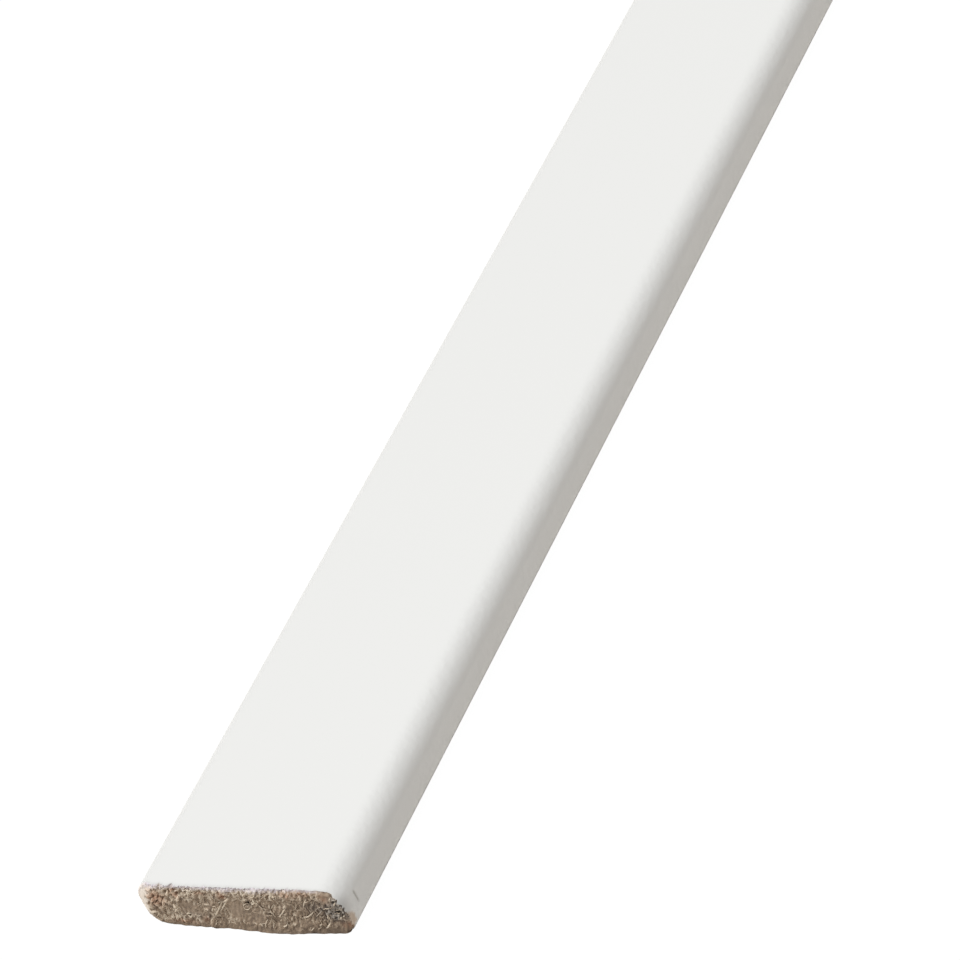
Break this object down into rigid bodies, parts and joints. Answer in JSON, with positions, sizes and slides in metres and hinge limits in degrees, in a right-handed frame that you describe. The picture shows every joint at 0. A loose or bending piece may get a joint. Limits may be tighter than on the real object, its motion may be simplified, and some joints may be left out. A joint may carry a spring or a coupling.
{
  "type": "skirting board",
  "caption": "Slim flat skirting board with rounded long edges, white lacquer on face and edges over a fibreboard core, cut to stock length, for gluing along the foot of a wall.",
  "frame": {"origin": "middle of the flat back, which the board lies on", "axes": "+Y along the length, away from the rough cut end in the picture; +X across the face; +Z out of the face, up as it lies"},
  "size_m": [0.024, 2.4, 0.006],
  "materials": {
    "white_lacquer": "satin white lacquer on the face and the rounded edges; the sawn ends and the back are bare brown fibreboard"
  },
  "bodies": {
    "root": {"skirting_board": "white_lacquer"}
  },
  "joints": []
}
